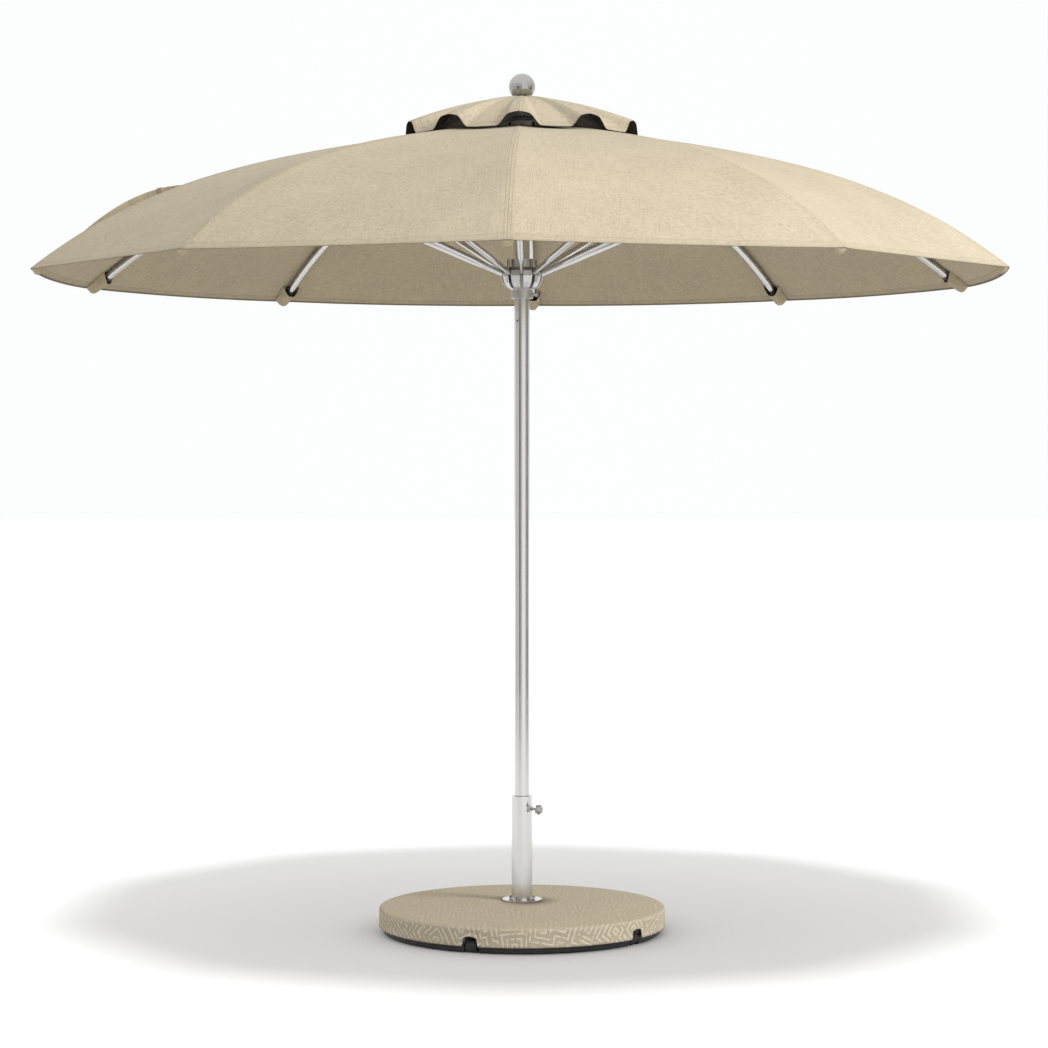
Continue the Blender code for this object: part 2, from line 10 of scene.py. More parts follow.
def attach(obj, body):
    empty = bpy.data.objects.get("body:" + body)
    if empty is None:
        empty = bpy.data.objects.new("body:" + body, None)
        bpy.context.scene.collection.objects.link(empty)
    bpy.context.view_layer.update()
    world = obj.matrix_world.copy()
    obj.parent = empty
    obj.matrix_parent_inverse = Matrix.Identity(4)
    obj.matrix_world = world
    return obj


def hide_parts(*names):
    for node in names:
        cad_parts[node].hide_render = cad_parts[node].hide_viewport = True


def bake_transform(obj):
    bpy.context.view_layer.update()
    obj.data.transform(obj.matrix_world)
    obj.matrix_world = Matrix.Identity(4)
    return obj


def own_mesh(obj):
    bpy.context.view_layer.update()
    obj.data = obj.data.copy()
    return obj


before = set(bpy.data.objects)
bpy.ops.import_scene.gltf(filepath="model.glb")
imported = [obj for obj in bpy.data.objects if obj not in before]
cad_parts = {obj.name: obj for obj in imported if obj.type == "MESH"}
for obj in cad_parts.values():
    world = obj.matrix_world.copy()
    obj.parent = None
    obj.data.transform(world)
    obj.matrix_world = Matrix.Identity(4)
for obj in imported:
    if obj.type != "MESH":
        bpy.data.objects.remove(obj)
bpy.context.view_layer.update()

# ---- sizes shared with the CAD ----
CANOPY_R = 1.400
RIBS = 10
RIB_STEP = 2 * pi / RIBS
FIRST_RIB = radians(-1.5)
CANOPY_TOP, CANOPY_SLOPE, CANOPY_DROP, CANOPY_BEND = 2.328, 0.156, 0.229, 4.0
VENT_HOLE_R = 0.250
PANEL_SAG = 0.022
RIM_DROOP, RIM_BULGE = 0.004, 0.018
CLOTH = 0.0014
VENT_R, VENT_EYE_R, VENT_TOP, VENT_SLOPE, VENT_ARCH, VENT_LOW = 0.335, 0.011, 2.4020, 0.10, 0.45, 2.2860
ARCH_HALF, ARCH_FLANK, VENT_BELLY = 0.24, 0.36, 0.0075
RIB_UNDER_CLOTH, RIB_END_R = 0.0155, 1.372
HINGE_R = 0.045
CROWN_HINGE_Z = CANOPY_TOP - CANOPY_SLOPE * HINGE_R - RIB_UNDER_CLOTH
RUNNER_HINGE_Z = 1.888
STRUT_ON_RIB_R, STRUT_BELOW_RIB = 0.700, 0.0225
COVER_R, COVER_HEM, BASE_TOP, DOME, COVER_EYE_R = 0.412, 0.020, 0.074, 0.015, 0.050
STRAP_RIB = 8  # the left rear rib, whose panel carries the closure strap
SENSOR, LENS, CAMERA_AT = 36, 96.97, (0.0, -8.12, 1.347)
CAMERA_PITCH, CAMERA_YAW = 90 - 1.218, -0.04


def rib_azimuths():
    return [FIRST_RIB + i * RIB_STEP for i in range(RIBS)]


def numbered(name, i):
    return f"{name}_{i + 1:02d}"


# ---- node materials ----
class Shader:
    """A Principled material and short ways to add procedural nodes to it."""

    def __init__(self, name, metallic=0.0, roughness=0.5, specular=0.5):
        self.material = bpy.data.materials.new(name)
        self.material.use_nodes = True
        self.tree = self.material.node_tree
        self.out = self.tree.nodes["Principled BSDF"]
        self.out.inputs["Metallic"].default_value = metallic
        self.out.inputs["Roughness"].default_value = roughness
        self.out.inputs["Specular IOR Level"].default_value = specular

    def node(self, kind, **settings):
        made = self.tree.nodes.new(kind)
        for key, value in settings.items():
            setattr(made, key, value)
        return made

    def link(self, a, b):
        self.tree.links.new(a, b)

    def coords(self, scale=(1, 1, 1), uv=None):
        """Object coordinates, or a UV map's, times scale."""
        if uv:
            source = self.node("ShaderNodeUVMap", uv_map=uv).outputs["UV"]
        else:
            source = self.node("ShaderNodeTexCoord").outputs["Object"]
        mapping = self.node("ShaderNodeMapping")
        mapping.inputs["Scale"].default_value = scale
        self.link(source, mapping.inputs["Vector"])
        return mapping.outputs["Vector"]

    def noise(self, scale, vector, detail=2.0, roughness=0.5):
        made = self.node("ShaderNodeTexNoise")
        made.inputs["Scale"].default_value = scale
        made.inputs["Detail"].default_value = detail
        made.inputs["Roughness"].default_value = roughness
        self.link(vector, made.inputs["Vector"])
        return made.outputs["Fac"]

    def math(self, operation, a, b=None, clamp=False):
        made = self.node("ShaderNodeMath", operation=operation, use_clamp=clamp)
        for socket, value in zip(made.inputs, (a, b)):
            if value is None:
                continue
            if isinstance(value, (int, float)):
                socket.default_value = value
            else:
                self.link(value, socket)
        return made.outputs[0]

    def remap(self, value, low, high, to_low, to_high):
        made = self.node("ShaderNodeMapRange")
        self.link(value, made.inputs["Value"])
        for key, number in zip(("From Min", "From Max", "To Min", "To Max"), (low, high, to_low, to_high)):
            made.inputs[key].default_value = number
        return made.outputs["Result"]

    def ramp(self, value, *stops):
        made = self.node("ShaderNodeValToRGB")
        band = made.color_ramp
        while len(band.elements) < len(stops):
            band.elements.new(0.5)
        for element, (at, colour) in zip(band.elements, stops):
            element.position = at
            element.color = (*colour, 1)
        self.link(value, made.inputs["Fac"])
        return made.outputs["Color"]

    def mix(self, factor, a, b, blend="MIX"):
        made = self.node("ShaderNodeMix", data_type="RGBA", blend_type=blend)
        for socket, value in ((made.inputs[0], factor), (made.inputs[6], a), (made.inputs[7], b)):
            if isinstance(value, (int, float)):
                socket.default_value = value
            elif isinstance(value, tuple):
                socket.default_value = (*value, 1)
            else:
                self.link(value, socket)
        return made.outputs[2]

    def colour(self, value):
        self.link(value, self.out.inputs["Base Color"])

    def rough(self, value):
        self.link(value, self.out.inputs["Roughness"])

    def bump(self, height, distance, strength=1.0):
        made = self.node("ShaderNodeBump")
        made.inputs["Distance"].default_value = distance
        made.inputs["Strength"].default_value = strength
        self.link(height, made.inputs["Height"])
        self.link(made.outputs["Normal"], self.out.inputs["Normal"])


def scaled(colour, factor):
    return tuple(c * factor for c in colour)


def weave(shader, colour, uv, contrast=1.0):
    """Two crossing sets of uneven threads, with slubs, in a cloth's own metres. Returns (colour, height)."""
    across = shader.noise(1.0, shader.coords((60, 380, 1), uv), 3.0, 0.6)
    along = shader.noise(1.0, shader.coords((380, 60, 1), uv), 3.0, 0.6)
    slub_a = shader.noise(1.0, shader.coords((9, 190, 1), uv), 2.0)
    slub_b = shader.noise(1.0, shader.coords((190, 9, 1), uv), 2.0)
    patch = shader.noise(1.0, shader.coords((5, 5, 1), uv), 3.0)
    threads = shader.math("ADD", across, along)
    slubs = shader.math("ADD", slub_a, slub_b)
    both = shader.math("ADD", shader.math("MULTIPLY", threads, 0.36), shader.math("MULTIPLY", slubs, 0.14))
    tone = shader.math("ADD", shader.math("MULTIPLY", both, 0.9), shader.math("MULTIPLY", patch, 0.1))
    spread = 0.13 * contrast
    dyed = shader.ramp(
        tone,
        (0.36, scaled(colour, 1 - 1.5 * spread)),
        (0.50, colour),
        (0.64, scaled(colour, 1 + spread)),
    )
    return dyed, both


def sewn_cloth(name, colour, thread_and_shade_colour, contrast=1.0, hem_painted_shade=0.35):
    """Canopy cloth, darkened along its rim with painted shade. UV map "cloth" is (sideways, outwards), "edge"
    (from the rim, from the seam), in metres.
    """
    shader = Shader(name, roughness=0.88, specular=0.15)
    dyed, height = weave(shader, colour, "cloth", contrast)
    split = shader.node("ShaderNodeSeparateXYZ")
    shader.link(shader.coords(uv="edge"), split.inputs[0])
    rim, seam = split.outputs["X"], split.outputs["Y"]
    dashes = shader.math("GREATER_THAN", shader.math("FRACT", shader.math("MULTIPLY", seam, 260)), 0.3)

    def line(distance, at, width):
        off = shader.math("ABSOLUTE", shader.math("SUBTRACT", distance, at))
        return shader.remap(off, width * 0.5, width, 1, 0)

    stitch = shader.math("MAXIMUM", line(rim, 0.021, 0.0012), line(rim, 0.015, 0.0012))
    stitch = shader.math("MULTIPLY", stitch, dashes)
    fold = line(rim, 0.0255, 0.0012)
    centre = line(seam, 0.0, 0.0016)
    felled = line(seam, 0.0085, 0.0014)
    marks = shader.math(
        "MAXIMUM", shader.math("MAXIMUM", stitch, fold), shader.math("MAXIMUM", centre, felled)
    )
    sewn = shader.mix(shader.math("MULTIPLY", marks, 0.45), dyed, thread_and_shade_colour)
    # Painted shade: the cloth is mixed towards the thread colour within 5 mm of the rim, fading out by 12 mm,
    # for the shadow at the hem's edge.
    hem_painted_shade_mask = shader.remap(rim, 0.005, 0.012, hem_painted_shade, 0)
    shader.colour(shader.mix(hem_painted_shade_mask, sewn, thread_and_shade_colour))
    relief = shader.math("SUBTRACT", height, shader.math("MULTIPLY", marks, 0.8))
    shader.bump(relief, 0.0006, 0.55)
    shader.rough(shader.remap(height, 0.3, 0.7, 0.95, 0.8))
    return shader.material


def patterned_cloth(name, colour, line_colour, uv):
    """The base cover's cloth, woven with nested angular outlines in a lighter thread."""
    shader = Shader(name, roughness=0.9, specular=0.12)
    dyed, height = weave(shader, colour, uv, 0.8)
    cells = shader.node("ShaderNodeTexVoronoi", feature="F1", distance="CHEBYCHEV", voronoi_dimensions="2D")
    cells.inputs["Scale"].default_value = 10.0
    cells.inputs["Randomness"].default_value = 0.9
    shader.link(shader.coords(uv=uv), cells.inputs["Vector"])
    rings = shader.math("FRACT", shader.math("MULTIPLY", cells.outputs["Distance"], 7.0))
    off = shader.math("ABSOLUTE", shader.math("SUBTRACT", rings, 0.5))
    broken = shader.remap(shader.noise(1.0, shader.coords((90, 90, 1), uv), 1.0), 0.38, 0.5, 0, 1)
    line = shader.math("MULTIPLY", shader.remap(off, 0.11, 0.19, 1, 0), broken)
    height_at = shader.node("ShaderNodeSeparateXYZ")
    shader.link(shader.coords(), height_at.inputs[0])
    # The pattern's lighter thread shows strongly on the skirt and faintly on the top.
    pattern_by_height = shader.remap(height_at.outputs["Z"], BASE_TOP - 0.010, BASE_TOP, 0.62, 0.20)
    shader.colour(shader.mix(shader.math("MULTIPLY", line, pattern_by_height), dyed, line_colour))
    shader.bump(shader.math("ADD", height, shader.math("MULTIPLY", line, 0.5)), 0.0006, 0.5)
    return shader.material


def brushed(name, colour, grain, roughness, metallic=1.0, variation=0.06):
    """Metal with a fine grain stretched along one of the object's axes, and faint handling marks."""
    shader = Shader(name, metallic=metallic, roughness=roughness)
    lines = shader.noise(1.0, shader.coords(grain), 4.0, 0.65)
    smudge = shader.noise(9.0, shader.coords(), 3.0)
    tone = shader.math("ADD", shader.math("MULTIPLY", lines, 0.6), shader.math("MULTIPLY", smudge, 0.4))
    darker, lighter = scaled(colour, 1 - variation), scaled(colour, 1 + variation)
    shader.colour(shader.ramp(tone, (0.3, darker), (0.7, lighter)))
    shader.rough(shader.remap(tone, 0.3, 0.7, roughness - 0.05, roughness + 0.07))
    shader.bump(lines, 0.0001, 0.10)
    return shader.material


def moulded(name, colour, roughness, scale=700.0):
    """Plastic or rubber with a fine grain and dusty patches of wear."""
    shader = Shader(name, roughness=roughness, specular=0.4)
    grain = shader.noise(scale, shader.coords(), 2.0)
    dust = shader.noise(26.0, shader.coords(), 4.0)
    shader.colour(shader.ramp(dust, (0.35, colour), (0.8, tuple(c + 0.03 for c in colour))))
    shader.rough(shader.remap(dust, 0.3, 0.7, roughness - 0.06, roughness + 0.12))
    shader.bump(grain, 0.0002, 0.3)
    return shader.material


def cast(name, colour):
    shader = Shader(name, roughness=0.85, specular=0.2)
    coarse = shader.noise(60.0, shader.coords(), 6.0, 0.7)
    shader.colour(shader.ramp(coarse, (0.3, scaled(colour, 0.75)), (0.7, scaled(colour, 1.2))))
    shader.bump(coarse, 0.001, 0.5)
    return shader.material


CANVAS = (0.400, 0.348, 0.256)
# The canopy's inside cloth is a darker copy of the outside cloth: painted shade for the shade under the canopy.
CANVAS_UNDER_PAINTED_SHADE = (0.335, 0.280, 0.189)
THREAD = (0.24, 0.20, 0.13)
canvas_top = sewn_cloth("canvas_outside", CANVAS, THREAD, 1.7)
# The inside cloth, the darker painted-shade copy, with darker thread and strong painted shade along its hem.
canvas_under_painted_shade = sewn_cloth("canvas_inside_painted_shade", CANVAS_UNDER_PAINTED_SHADE, (0.11, 0.085, 0.055), 1.9, 0.9)
# The vent canopy's inside is painted near black: painted shade for the deep shade under the vent canopy.
vent_under_painted_shade = sewn_cloth("vent_inside_painted_shade", (0.052, 0.045, 0.038), (0.02, 0.02, 0.02), 1.0)
cover_cloth = patterned_cloth("cover_cloth", (0.370, 0.320, 0.236), (0.66, 0.61, 0.50), "cloth")
tube_metal = brushed("satin_tube", (0.60, 0.595, 0.59), (900, 900, 14), 0.26, variation=0.04)
pole_metal = brushed("satin_pole", (0.64, 0.632, 0.618), (1500, 1500, 20), 0.17, variation=0.025)
hub_metal = brushed("satin_casting", (0.56, 0.555, 0.54), (120, 120, 120), 0.34)
steel = brushed("brushed_steel", (0.42, 0.415, 0.40), (420, 420, 30), 0.26, variation=0.16)
black_plastic = moulded("black_moulding", (0.012, 0.012, 0.013), 0.5)
rubber = moulded("wheel_rubber", (0.018, 0.018, 0.018), 0.62, 900.0)
casting = cast("weight_casting", (0.33, 0.32, 0.30))


# ---- mesh tools ----
def new_object(name, verts, faces, finish, smooth=True):
    mesh = bpy.data.meshes.new(name)
    mesh.from_pydata([tuple(v) for v in verts], [], faces)
    mesh.update()
    for each in finish if isinstance(finish, (list, tuple)) else [finish]:
        mesh.materials.append(each)
    obj = bpy.data.objects.new(name, mesh)
    bpy.context.scene.collection.objects.link(obj)
    if smooth:
        mesh.shade_smooth()
    return obj


def face_out(obj):
    bm = bmesh.new()
    bm.from_mesh(obj.data)
    bmesh.ops.recalc_face_normals(bm, faces=bm.faces)
    bm.to_mesh(obj.data)
    bm.free()


def soften(obj, width, segments=2, angle=30):
    """Rounds an object's edges for good, and shades it smooth with its flat faces kept flat."""
    bevel = obj.modifiers.new("soft", "BEVEL")
    bevel.width, bevel.segments, bevel.angle_limit = width, segments, radians(angle)
    bevel.harden_normals = True
    obj.data.shade_smooth()
    bake_modifiers(obj)
    return obj


def bake_modifiers(obj):
    bpy.context.view_layer.update()
    graph = bpy.context.evaluated_depsgraph_get()
    mesh = bpy.data.meshes.new_from_object(obj.evaluated_get(graph))
    obj.modifiers.clear()
    obj.data = mesh


def turn_to(obj, azimuth):
    """Turns a piece modelled along +X to an azimuth, in its mesh."""
    obj.data.transform(Matrix.Rotation(azimuth - pi / 2, 4, "Z"))
    return obj


def loops_to_tube(rings):
    """Vertices and faces that skin a list of equal rings of points, with a face at each end."""
    count = len(rings[0])
    verts = [p for ring in rings for p in ring]
    faces = []
    for i in range(len(rings) - 1):
        j = i + 1
        for k in range(count):
            n = (k + 1) % count
            faces.append((i * count + k, i * count + n, j * count + n, j * count + k))
    faces.append(tuple(range(count))[::-1])
    faces.append(tuple(range((len(rings) - 1) * count, len(rings) * count)))
    return verts, faces


def merge(name, parts):
    """Joins parts into one object."""
    bpy.context.view_layer.update()
    bm = bmesh.new()
    materials = []
    for part in parts:
        start = len(bm.faces)
        bm.from_mesh(part.data)
        bm.faces.ensure_lookup_table()
        slots = []
        for m in part.data.materials:
            if m not in materials:
                materials.append(m)
            slots.append(materials.index(m))
        for face in bm.faces[start:]:
            face.material_index = slots[face.material_index]
    mesh = bpy.data.meshes.new(name)
    bm.to_mesh(mesh)
    bm.free()
    for m in materials:
        mesh.materials.append(m)
    for part in parts:
        bpy.data.objects.remove(part)
    obj = bpy.data.objects.new(name, mesh)
    bpy.context.scene.collection.objects.link(obj)
    return obj


def block(name, low, high, finish, edge=0.0008):
    (x0, y0, z0), (x1, y1, z1) = low, high
    verts = [(x, y, z) for x in (x0, x1) for y in (y0, y1) for z in (z0, z1)]
    faces = [(0, 1, 3, 2), (4, 6, 7, 5), (0, 4, 5, 1), (2, 3, 7, 6), (0, 2, 6, 4), (1, 5, 7, 3)]
    obj = new_object(name, verts, faces, finish, smooth=False)
    face_out(obj)
    return soften(obj, edge)


def rod(name, radius, start, end, finish, sides=20, edge=0.0006):
    """A round bar with softened ends."""
    start, end = Vector(start), Vector(end)
    along = (end - start).normalized()
    side = along.orthogonal().normalized()
    up = along.cross(side)
    rings = []
    length = (end - start).length
    for at, r in ((0, radius - edge), (edge, radius), (length - edge, radius), (length, radius - edge)):
        rings.append(
            [
                start + along * at + (side * cos(2 * pi * k / sides) + up * sin(2 * pi * k / sides)) * r
                for k in range(sides)
            ]
        )
    obj = new_object(name, *loops_to_tube(rings), finish)
    face_out(obj)
    obj.data.set_sharp_from_angle(angle=radians(50))
    return obj


# ---- canopy ----
def cloth_z(r):
    return CANOPY_TOP - CANOPY_SLOPE * r - CANOPY_DROP * (r / CANOPY_R) ** CANOPY_BEND


def slope_at(r):
    return CANOPY_SLOPE + CANOPY_DROP * CANOPY_BEND / CANOPY_R * (r / CANOPY_R) ** (CANOPY_BEND - 1)


def rib_z(r):
    return cloth_z(r) - RIB_UNDER_CLOTH * hypot(1, slope_at(r))


def cloth_radius(share):
    return VENT_HOLE_R + (CANOPY_R - VENT_HOLE_R) * share


def cloth_point(share, side, index=0):
    """The cloth at a share of the way from vent hole to rim, and side from -1 to 1 across the gore."""
    across = abs(side)
    hollow = 1 - (1 - across) ** 2
    r = cloth_radius(share)
    half = RIB_STEP / 2
    x = r * (1 - across * sin(half) ** 2)
    y = r * side * cos(half) * sin(half)
    sag = PANEL_SAG * hollow * sin(pi * min(max(share, 0), 1)) ** 0.8 * (r / CANOPY_R)
    droop = RIM_DROOP * hollow * share**3
    bulge = 1 + RIM_BULGE * hollow * max(share, 0) ** 6
    dent = 0.005 * exp(-(((y + 0.020) / 0.013) ** 2) - ((share - 0.93) / 0.035) ** 2)
    # Tension lines fan out of each rib's end into the panel, and die out at its middle and along the hem.
    fan = sin(across * 17 + 1.4 * sin(index * 2.3) + (1 - share) * 9)
    pull = 0.0016 * fan * across * (1 - across) ** 2 * 6 * max(share, 0) ** 5 * (1 - max(share, 0) ** 24)
    seam = 0.0011 * max(0.0, 1 - across * r * 0.31 / 0.010)
    return Vector((x * bulge, y * bulge, cloth_z(r) - sag - droop - dent + pull + seam))


def cloth_grid(point, rows, sides, name, finishes):
    """A closed thin sheet from point(share, side), with two materials, outside and inside; set_uvs gives it its
    two UV maps.
    """
    grid = [[point(s, c) for c in sides] for s in rows]
    count, last = len(sides), len(rows)
    verts = [p for row in grid for p in row] + [p - Vector((0, 0, CLOTH)) for row in grid for p in row]
    half = count * last
    faces, inside = [], []
    for i in range(last - 1):
        for k in range(count - 1):
            a, b, c, d = i * count + k, i * count + k + 1, (i + 1) * count + k + 1, (i + 1) * count + k
            faces.append((a, d, c, b))
            inside.append(0)
            faces.append((half + a, half + b, half + c, half + d))
            inside.append(1)
    outline = list(range(count)) + [i * count + count - 1 for i in range(1, last)]
    outline += [(last - 1) * count + k for k in range(count - 2, -1, -1)]
    outline += [i * count for i in range(last - 2, 0, -1)]
    for a, b in zip(outline, outline[1:] + outline[:1]):
        faces.append((a, b, half + b, half + a))
        inside.append(0)
    obj = new_object(name, verts, faces, finishes)
    obj.data.polygons.foreach_set("material_index", inside)
    return obj, grid


def set_uvs(obj, count, rows_count, cloth, edge):
    """Writes the two UV maps from per-vertex tables laid out like cloth_grid's vertices."""
    total = count * rows_count
    for name, table in (("cloth", cloth), ("edge", edge)):
        layer = obj.data.uv_layers.new(name=name)
        for loop in obj.data.loops:
            layer.data[loop.index].uv = table[loop.vertex_index % total]


def smooth_normals(obj, point, rows, sides):
    """Shades a gore with its surface's own normals, so that neighbours meet without a crease."""
    step = 1e-3
    normals = []
    for s in rows:
        for c in sides:
            ds = point(s + step, c) - point(s - step, c)
            dc = point(s, c + step) - point(s, c - step)
            if abs(c) >= 1 - 1e-6:
                dc = Matrix.Rotation(c * RIB_STEP / 2, 3, "Z") @ Vector((0, 1, 0))
            n = ds.cross(dc).normalized()
            normals.append(n if n.z > 0 else -n)
    both = normals + [-n for n in normals]
    obj.data.normals_split_custom_set_from_vertices([tuple(n) for n in both])


def build_canopy():
    rows_count, sides_count = ((64, 33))
    rows = [1 - (1 - i / (rows_count - 1)) ** 1.25 for i in range(rows_count)]
    sides = [-1 + 2 * i / (sides_count - 1) for i in range(sides_count)]
    gores = []
    for i, azimuth in enumerate(rib_azimuths()):

        def point(share, side, index=i):
            return cloth_point(share, side, index)

        obj, grid = cloth_grid(point, rows, sides, numbered("canopy_cloth", i), [canvas_top, canvas_under_painted_shade])
        cloth, edge = [], []
        for s, row in zip(rows, grid):
            r = cloth_radius(s)
            rim = CANOPY_R - r
            for p in row:
                cloth.append((p.y, hypot(p.x, cloth_z(r) - CANOPY_TOP)))
                edge.append((rim * hypot(1, slope_at(r)), abs(p.y)))
        set_uvs(obj, sides_count, rows_count, cloth, edge)
        smooth_normals(obj, point, rows, sides)
        turn_to(obj, azimuth)
        sideways = Vector((cos(azimuth), sin(azimuth), 0))
        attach(obj, numbered("rib", i))
        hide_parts(numbered("canopy_gore", i))
        gores.append((obj, sideways))
    return gores


def vent_radius(share):
    return VENT_EYE_R + (VENT_R - VENT_EYE_R) * share


def vent_point(share, side):
    """The vent canopy's rim arches up over each rib and hangs close to the canopy between ribs."""
    r, turn = vent_radius(share), side * RIB_STEP / 2
    ridge = [VENT_TOP - VENT_SLOPE * q - VENT_ARCH * q**2 for q in (r, VENT_R)]
    fall = min(max((abs(side) - ARCH_HALF) / ARCH_FLANK, 0), 1)
    fall = fall**2 * (3 - 2 * fall)
    belly = VENT_BELLY * fall * (1 - (1 - abs(side)) ** 2)
    crown = 0.004 * min(abs(side) / ARCH_HALF, 1) ** 2 * max(share, 0) ** 3
    drop = ((ridge[1] - VENT_LOW - 0.004) * fall + belly) * max(share, 0) ** 1.6 + crown
    seam = 0.0010 * max(0.0, 1 - abs(turn) * r / 0.006)
    return Vector((r * cos(turn), r * sin(turn), ridge[0] - drop + seam))


def build_vent():
    rows_count, sides_count = ((30, 57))
    rows = [i / (rows_count - 1) for i in range(rows_count)]
    sides = [-1 + 2 * i / (sides_count - 1) for i in range(sides_count)]
    pieces = []
    for i, azimuth in enumerate(rib_azimuths()):
        obj, grid = cloth_grid(vent_point, rows, sides, numbered("vent_cloth", i), [canvas_top, vent_under_painted_shade])
        cloth, edge = [], []
        for s, row in zip(rows, grid):
            for p in row:
                cloth.append((p.y, p.x))
                edge.append(((1 - s) * (VENT_R - VENT_EYE_R), abs(p.y)))
        set_uvs(obj, sides_count, rows_count, cloth, edge)
        smooth_normals(obj, vent_point, rows, sides)
        turn_to(obj, azimuth)
        out = Vector((sin(azimuth), -cos(azimuth), 0))
        numbered("rib", i)
        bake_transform(obj)
        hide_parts("vent_canopy")
        pieces.append(obj)
    return pieces


# ---- ribs and struts ----
def oval_tube(name, points, half_width, half_height, finish, sides=20):
    rings = []
    for i, (x, z) in enumerate(points):
        before, after = points[max(i - 1, 0)], points[min(i + 1, len(points) - 1)]
        slope = atan2(after[1] - before[1], after[0] - before[0])
        ring = []
        for k in range(sides):
            turn = 2 * pi * k / sides
            up = half_height * sin(turn)
            ring.append(Vector((x - up * sin(slope), half_width * cos(turn), z + up * cos(slope))))
        rings.append(ring)
    obj = new_object(name, *loops_to_tube(rings), finish)
    face_out(obj)
    obj.data.set_sharp_from_angle(angle=radians(50))
    return obj


def build_rib(i, azimuth):
    first = HINGE_R + 0.026
    count = 30
    radii = [first + (RIB_END_R - 0.024 - first) * k / (count - 1) for k in range(count)]
    rib = oval_tube("tube", [(r, rib_z(r)) for r in radii], 0.0098, 0.0113, tube_metal)
    x, z = STRUT_ON_RIB_R, rib_z(STRUT_ON_RIB_R) - STRUT_BELOW_RIB
    eye = rod("eye", 0.008, (HINGE_R, -0.0035, CROWN_HINGE_Z), (HINGE_R, 0.0035, CROWN_HINGE_Z), tube_metal)
    shank = block("shank", (HINGE_R, -0.0034, -0.0058), (first + 0.016, 0.0034, 0.0058), tube_metal)
    shank.data.transform(Matrix.Translation((0, 0, CROWN_HINGE_Z)))
    lean = atan2(rib_z(first) - CROWN_HINGE_Z, first - HINGE_R)
    about = Matrix.Translation((HINGE_R, 0, CROWN_HINGE_Z))
    shank.data.transform(about @ Matrix.Rotation(-lean, 4, "Y") @ about.inverted())
    parts = [rib, eye, shank]
    for side in (-1, 1):
        near, far = sorted((side * 0.0042, side * 0.0070))
        parts.append(block("ear", (x - 0.0085, near, z - 0.002), (x + 0.0085, far, z + 0.017), tube_metal))
        parts.append(rod("ear_end", 0.0085, (x, near, z - 0.001), (x, far, z - 0.001), tube_metal))
    rivet = rod("rivet", 0.0032, (x, -0.0086, z), (x, 0.0086, z), steel)
    obj = merge(numbered("rib_tube", i), [*parts, rivet])
    turn_to(obj, azimuth)
    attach(obj, numbered("rib", i))
    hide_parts(numbered("rib", i))
    return obj


def build_strut(i, azimuth):
    x, z = STRUT_ON_RIB_R, rib_z(STRUT_ON_RIB_R) - STRUT_BELOW_RIB
    run, rise = x - HINGE_R, z - RUNNER_HINGE_Z
    length = hypot(run, rise)
    sides = 20
    # The section runs from flat at the runner, through a round tube, to flat again at the rib.
    stations = [
        (-0.0070, 0.0005, 0.0010),
        (-0.0060, 0.0032, 0.0040),
        (-0.0030, 0.0034, 0.0066),
        (0.0, 0.0034, 0.0074),
        (0.070, 0.0034, 0.0074),
        (0.085, 0.0042, 0.0078),
        (0.100, 0.0070, 0.0084),
        (0.112, 0.0086, 0.0088),
        (length - 0.040, 0.0086, 0.0088),
        (length - 0.030, 0.0070, 0.0080),
        (length - 0.020, 0.0036, 0.0064),
        (length - 0.003, 0.0034, 0.0060),
        (length + 0.003, 0.0034, 0.0052),
        (length + 0.006, 0.0010, 0.0020),
    ]
    rings = []
    for at, half_width, half_height in stations:
        ring = []
        squareness = 0.55 if half_width < 0.0050 else 1.0
        for k in range(sides):
            c, s = cos(2 * pi * k / sides), sin(2 * pi * k / sides)
            wide = abs(c) ** squareness * (1 if c >= 0 else -1)
            tall = abs(s) ** squareness * (1 if s >= 0 else -1)
            ring.append(Vector((at, half_width * wide, half_height * tall)))
        rings.append(ring)
    tube = new_object("tube", *loops_to_tube(rings), tube_metal)
    face_out(tube)
    tube.data.set_sharp_from_angle(angle=radians(50))
    rivet = rod("rivet", 0.0032, (0, -0.0046, 0), (0, 0.0046, 0), steel)
    obj = merge(numbered("strut_tube", i), [tube, rivet])
    at_runner = Matrix.Translation((HINGE_R, 0, RUNNER_HINGE_Z))
    obj.data.transform(at_runner @ Matrix.Rotation(-atan2(rise, run), 4, "Y"))
    turn_to(obj, azimuth)
    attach(obj, numbered("strut", i))
    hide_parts(numbered("strut", i))
    return obj


def build_rib_end(i, azimuth):
    """The black cap on a rib's end."""
    r0, r1 = 1.330, RIB_END_R - 0.014
    points = [(r0 + (r1 - r0) * k / 5, rib_z(r0 + (r1 - r0) * k / 5)) for k in range(6)]
    obj = oval_tube(numbered("rib_cap", i), points, 0.0118, 0.0128, black_plastic, 20)
    turn_to(obj, azimuth)
    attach(obj, numbered("rib", i))
    return obj


